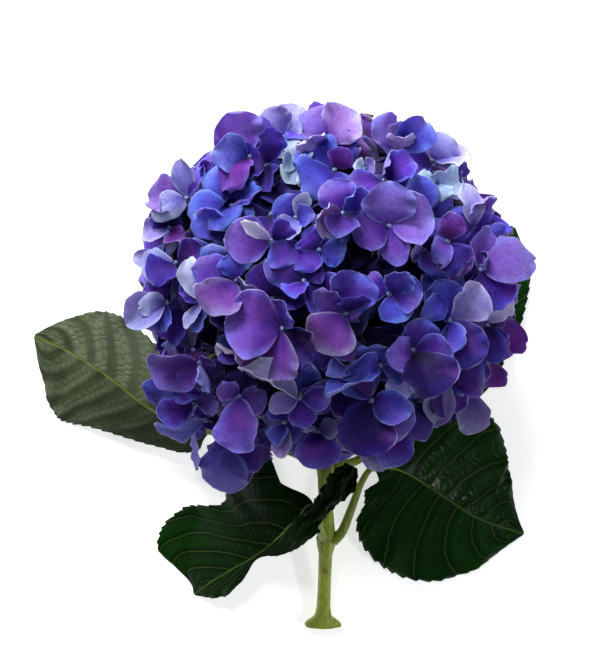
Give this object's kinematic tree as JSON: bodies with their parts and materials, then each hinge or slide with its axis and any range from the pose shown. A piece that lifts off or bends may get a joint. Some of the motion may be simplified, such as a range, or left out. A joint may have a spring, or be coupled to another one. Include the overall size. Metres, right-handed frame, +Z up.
{
  "type": "cut hydrangea",
  "caption": "Cut mophead hydrangea lying on its back: a round head of four-sepalled violet florets on a leafy green stem.",
  "frame": {"origin": "middle of the underside of the flower's bounding box, on the surface that it lies on", "axes": "+Y along the stem from its cut foot to the flower head; +Z up from the surface; +X to the right, seen from above with the head at the far end"},
  "size_m": [0.2462, 0.2568, 0.1554],
  "materials": {
    "stem_green": "matt living stem, light olive green",
    "branch_green": "matt living stalk, light green",
    "leaf_green": "glossy living leaf, deep green with paler veins",
    "sepal_violet": "soft sheen petal, violet to blue-violet"
  },
  "bodies": {
    "root": {"stem": "stem_green", "leaf_right": "leaf_green", "leaf_front": "leaf_green", "leaf_left": "leaf_green", "leaf_back": "leaf_green", "branch_1": "branch_green", "branch_2": "branch_green", "branch_3": "branch_green", "branch_4": "branch_green", "branch_5": "branch_green", "branch_6": "branch_green", "branch_7": "branch_green", "floret_01": "sepal_violet", "floret_02": "sepal_violet", "floret_03": "sepal_violet", "floret_04": "sepal_violet", "floret_05": "sepal_violet", "floret_06": "sepal_violet", "floret_07": "sepal_violet", "floret_08": "sepal_violet", "floret_09": "sepal_violet", "floret_10": "sepal_violet", "floret_11": "sepal_violet", "floret_12": "sepal_violet", "floret_13": "sepal_violet", "floret_14": "sepal_violet", "floret_15": "sepal_violet", "floret_16": "sepal_violet", "floret_17": "sepal_violet", "floret_18": "sepal_violet", "floret_19": "sepal_violet", "floret_20": "sepal_violet", "floret_21": "sepal_violet", "floret_22": "sepal_violet", "floret_23": "sepal_violet", "floret_24": "sepal_violet", "floret_25": "sepal_violet", "floret_26": "sepal_violet", "floret_27": "sepal_violet", "floret_28": "sepal_violet", "floret_29": "sepal_violet", "floret_30": "sepal_violet", "floret_31": "sepal_violet", "floret_32": "sepal_violet", "floret_33": "sepal_violet", "floret_34": "sepal_violet", "floret_35": "sepal_violet", "floret_36": "sepal_violet", "floret_37": "sepal_violet", "floret_38": "sepal_violet", "floret_39": "sepal_violet", "floret_40": "sepal_violet", "floret_41": "sepal_violet", "floret_42": "sepal_violet", "floret_43": "sepal_violet", "floret_44": "sepal_violet"}
  },
  "joints": []
}
